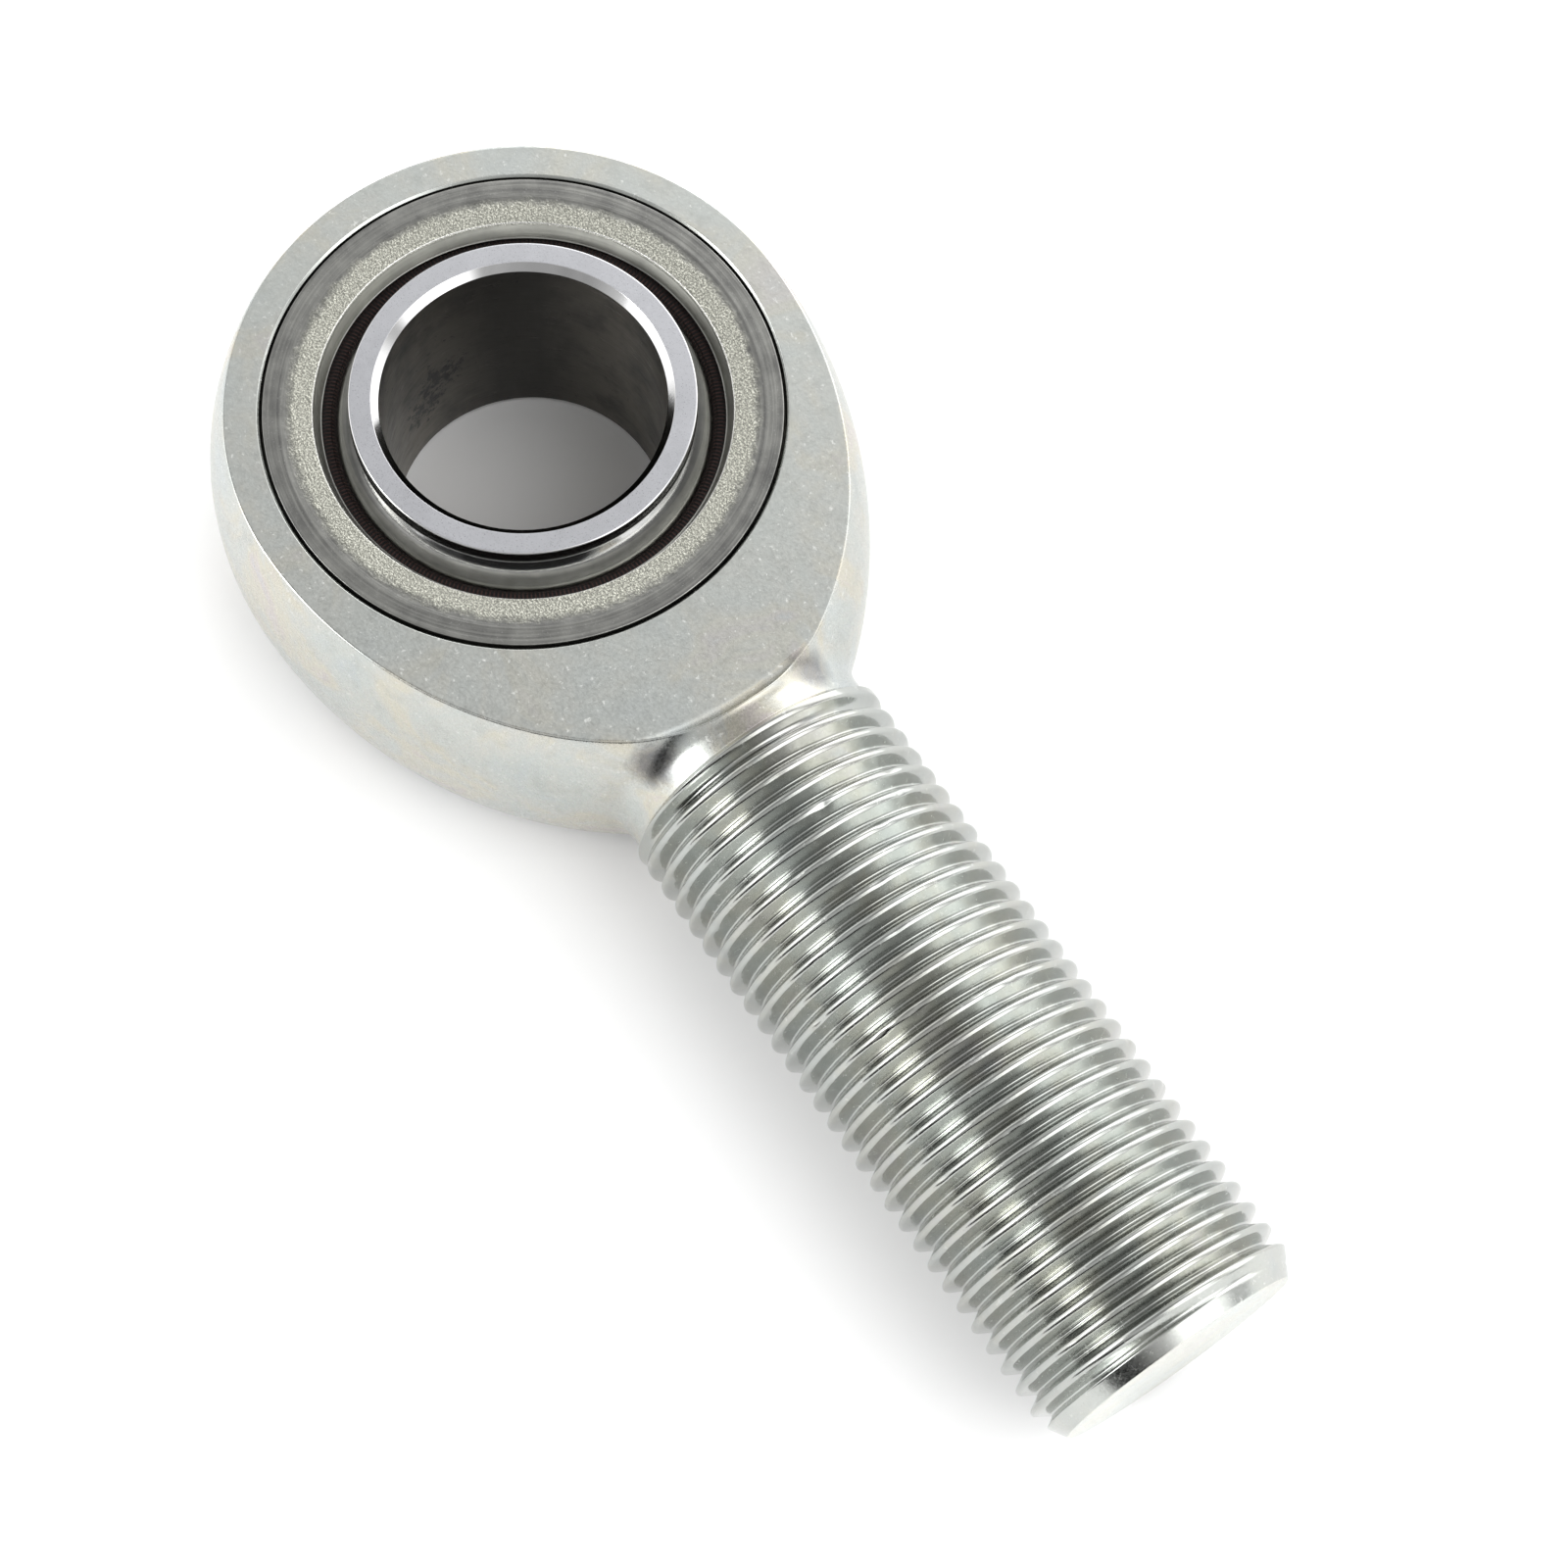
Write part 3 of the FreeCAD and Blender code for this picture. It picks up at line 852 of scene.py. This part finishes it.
def shank_points():
    """Rows from the undercut to the middle of the tip's end face.

    Along the thread the rows follow the left-hand helix, so that crests and roots
    stay smooth; at each end the rows fan out from a plain ring.
    """
    turns = np.linspace(0, 1, SHANK_COLUMNS + 1)
    offsets = groove_offsets()
    first_middle = GROOVE_START + PITCH * GROOVE_START_TURN
    helix_rows = [first_middle + PITCH / 2]
    for k in range(1, GROOVE_TURNS):
        helix_rows += list(first_middle + PITCH * k + offsets)
    foot = helix_rows[0] - PITCH
    per_pitch = len(offsets)
    rows = []

    def ring(x):
        rows.append(np.full(SHANK_COLUMNS + 1, x))

    ring(RING_START)
    for place in LEAD_RINGS:
        ring(THREAD_START + place)
    ring(foot)
    for x in helix_rows[0] - PITCH + (np.array(helix_rows[:per_pitch + 1]) - helix_rows[0])[1:]:
        rows.append(x + (foot - x) * turns)
    for x in helix_rows[1:]:
        rows.append(x - PITCH * turns)
    last = helix_rows[-1]
    for back in np.array(helix_rows[-per_pitch - 1:])[1:]:
        rows.append(last + (back - last) * turns)
    for x in np.arange(last + TIP_RING_STEP, LENGTH - TIP_EDGE, TIP_RING_STEP):
        ring(x)
    grid = []
    for x in rows:
        radius = shank_radius(x, turns % 1)
        grid.append(np.stack([x, radius * np.cos(2 * math.pi * turns),
                              radius * np.sin(2 * math.pi * turns)], axis=-1))
    tip = divided(rounded([(LENGTH - TIP_EDGE, TIP_RADIUS + TIP_EDGE_RISE), (LENGTH, TIP_RADIUS),
                           (LENGTH, 0)], [TIP_EDGE], steps=4), 1.2)
    for x, radius in tip:
        grid.append(np.stack([np.full(SHANK_COLUMNS + 1, x),
                              radius * np.cos(2 * math.pi * turns),
                              radius * np.sin(2 * math.pi * turns)], axis=-1))
    return np.array(grid)


def make_body(materials):
    """Head, neck, thread and tip as one closed mesh."""
    upper, side = head_points()
    neck = neck_points(upper, side)
    shank = shank_points()
    points = []
    faces = []
    for grid in (upper, upper * (1, 1, -1), side, neck, shank):
        faces += grid_faces(grid.shape[0], grid.shape[1], first=sum(len(p) for p in points))
        points.append(grid.reshape(-1, 3))
    body = new_object("body_shaped", np.concatenate(points), faces, materials)
    for polygon in body.data.polygons:
        middle = polygon.center / MM
        reach = math.hypot(middle.x, middle.y)
        if middle.x > LENGTH - 0.05:
            polygon.material_index = END
        elif middle.x > LENGTH - TIP_CHAMFER:
            polygon.material_index = CHAMFER
        elif middle.x > THREAD_START - LEAD_IN:
            polygon.material_index = THREAD
        elif reach < RACE_RADIUS + HEAD_BORE_CHAMFER + 0.02:
            polygon.material_index = CHAMFER
        elif abs(polygon.normal.z) > 0.995 and abs(abs(middle.z) - HALF_HEAD) < 0.02:
            polygon.material_index = FLAT
        else:
            polygon.material_index = SIDE
    return body


# ---------------------------------------------------------------- the object

zinc_side = zinc("zinc_turned_side", 0.27, 0.65, 0.004, 0.004, neck_shaded=True)
zinc_flat = zinc("zinc_ground_flat", 0.34, 0.30, 0.008, 0.001)
zinc_thread = zinc("zinc_rolled_thread", 0.14, 0.20, 0.002, 0.000, tone=0.70)
zinc_chamfer = zinc("zinc_bright_chamfer", 0.20, 0.10, 0.002, 0.000)
zinc_end = zinc("zinc_faced_end", 0.28, 0.30, 0.004, 0.014, tone=1.05, faced=True)
race_metal = race_steel("race_steel_bare")
cloth = liner_cloth("liner_cloth")
chrome = ball_steel("ball_chrome", (0.60, 0.60, 0.60), 0.08, 0.0010)
ground = ball_steel("ball_ground_face", (0.505, 0.51, 0.535), 0.34, 0.004)
honed = bore_steel("ball_honed_bore")
worn = ball_steel("ball_worn_sphere", (0.78, 0.78, 0.75), 0.14, 0.002, cloud_share=0.5)
# chrome painted nearly black for the neck's wall: a painted dark reflection
neck = ball_steel("ball_neck_painted_dark", (0.07, 0.07, 0.072), 0.16, 0.002)

body = make_body([zinc_side, zinc_flat, zinc_thread, zinc_chamfer, zinc_end])
race = make_race([race_metal])
liner = make_liner([cloth])
ball = make_ball([chrome, ground, honed, worn, neck])

for piece, node, rides_on, slot in (
        (body, "body", "rod_end", "zinc_steel"),
        (race, "race", "rod_end", "race_steel"),
        (liner, "liner", "liner", "liner_fabric"),
        (ball, "ball", "ball", "ball_chrome")):
    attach(piece, rides_on)
    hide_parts(node)


# ---------------------------------------------------------------- camera, floor and light

def make_camera():
    """The photograph's viewpoint: a close, steep view from the shank's right side."""
    azimuth = math.radians(CAMERA_AZIMUTH)
    elevation = math.radians(CAMERA_ELEVATION)
    roll = math.radians(CAMERA_ROLL)
    back = Vector((math.sin(azimuth) * math.cos(elevation),
                   -math.cos(azimuth) * math.cos(elevation), math.sin(elevation)))
    level = Vector((math.cos(azimuth), math.sin(azimuth), 0))
    upright = back.cross(level)
    right = math.cos(roll) * level + math.sin(roll) * upright
    up = -math.sin(roll) * level + math.cos(roll) * upright
    data = bpy.data.cameras.new("camera")
    data.lens = LENS
    data.sensor_width = 36
    data.clip_start = 0.01
    camera = bpy.data.objects.new("camera", data)
    turn = Matrix((right, up, back)).transposed().to_4x4()
    camera.matrix_world = Matrix.Translation(CAMERA_PLACE) @ turn
    bpy.context.scene.collection.objects.link(camera)
    bpy.context.scene.camera = camera


def make_floor():
    """A wide pale sheet that the ball's lower face and the shank rest on."""
    low = cad_box[0].z
    half = FLOOR_HALF
    corners = [(-half, -half, low), (half, -half, low), (half, half, low), (-half, half, low)]
    mesh = bpy.data.meshes.new("floor")
    mesh.from_pydata(corners, [], [(0, 1, 2, 3)])
    floor = bpy.data.objects.new("floor", mesh)
    bpy.context.scene.collection.objects.link(floor)
    s = Shading("floor_paper")
    mesh.materials.append(s.finish((0.93, 0.93, 0.93), 0.9, metallic=0.0, Specular_IOR_Level=0.1))


def make_world():
    """Soft studio light: an even white with the lamps and dark patches of LOBES."""
    world = bpy.data.worlds.new("studio")
    world.use_nodes = True
    tree = world.node_tree
    sky = tree.nodes["Background"]
    place = tree.nodes.new("ShaderNodeTexCoord").outputs["Generated"]

    def lobe(direction, inner, outer, gain):
        """Light added round a direction, fading between two angles in degrees."""
        dot = tree.nodes.new("ShaderNodeVectorMath")
        dot.operation = "DOT_PRODUCT"
        tree.links.new(place, dot.inputs[0])
        dot.inputs[1].default_value = direction
        fade = tree.nodes.new("ShaderNodeMapRange")
        fade.interpolation_type = "SMOOTHSTEP"
        tree.links.new(dot.outputs["Value"], fade.inputs["Value"])
        fade.inputs["From Min"].default_value = math.cos(math.radians(outer))
        fade.inputs["From Max"].default_value = math.cos(math.radians(inner))
        fade.inputs["To Max"].default_value = gain
        return fade.outputs["Result"]

    total = None
    for azimuth, elevation, inner, outer, gain in LOBES:
        a, e = math.radians(azimuth), math.radians(elevation)
        toward = Vector((math.cos(e) * math.cos(a), math.cos(e) * math.sin(a), math.sin(e)))
        light = lobe(toward, inner, outer, gain)
        add = tree.nodes.new("ShaderNodeMath")
        add.operation = "ADD"
        tree.links.new(light, add.inputs[0])
        if total is None:
            add.inputs[1].default_value = AMBIENT
        else:
            tree.links.new(total, add.inputs[1])
        total = add.outputs[0]
    least = tree.nodes.new("ShaderNodeMath")
    least.operation = "MAXIMUM"
    least.inputs[1].default_value = LEAST_LIGHT
    tree.links.new(total, least.inputs[0])
    tree.links.new(least.outputs[0], sky.inputs["Strength"])
    sky.inputs["Color"].default_value = (1, 1, 1, 1)
    bpy.context.scene.world = world


make_camera()
make_floor()
make_world()
bpy.context.scene.view_settings.view_transform = "Standard"
